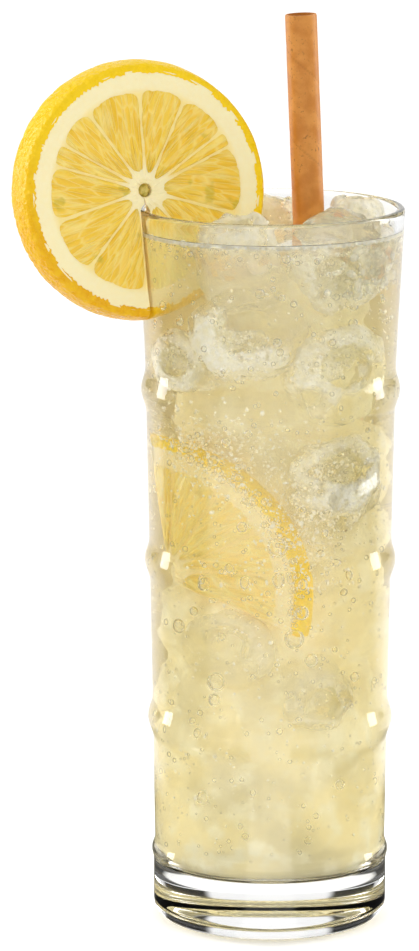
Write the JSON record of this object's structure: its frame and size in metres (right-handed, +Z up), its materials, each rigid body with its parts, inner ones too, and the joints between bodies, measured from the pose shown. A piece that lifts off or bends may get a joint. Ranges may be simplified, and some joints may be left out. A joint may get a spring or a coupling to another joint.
{
  "type": "glass of lemonade",
  "caption": "Tall ringed tumbler of cloudy iced lemonade with a thick clear foot, a lemon wheel slit over its rim, a brown paper straw and ice above the drink.",
  "frame": {"origin": "centre of the glass's foot, on the surface it stands on", "axes": "+Z up the glass's axis; +Y away from the drinker; the lemon wheel is towards -X"},
  "size_m": [0.0946, 0.0648, 0.2216],
  "materials": {
    "clear_glass": "polished",
    "cloudy_drink": "cloudy liquid",
    "lemon": "satin, moist",
    "brown_paper": "matt",
    "ice": "wet"
  },
  "bodies": {
    "root": {"glass": "clear_glass", "lemonade": "cloudy_drink", "lemon_wheel": "lemon", "straw": "brown_paper", "ice_right": "ice", "ice_front": "ice", "ice_back": "ice", "ice_far_right": "ice"}
  },
  "joints": []
}
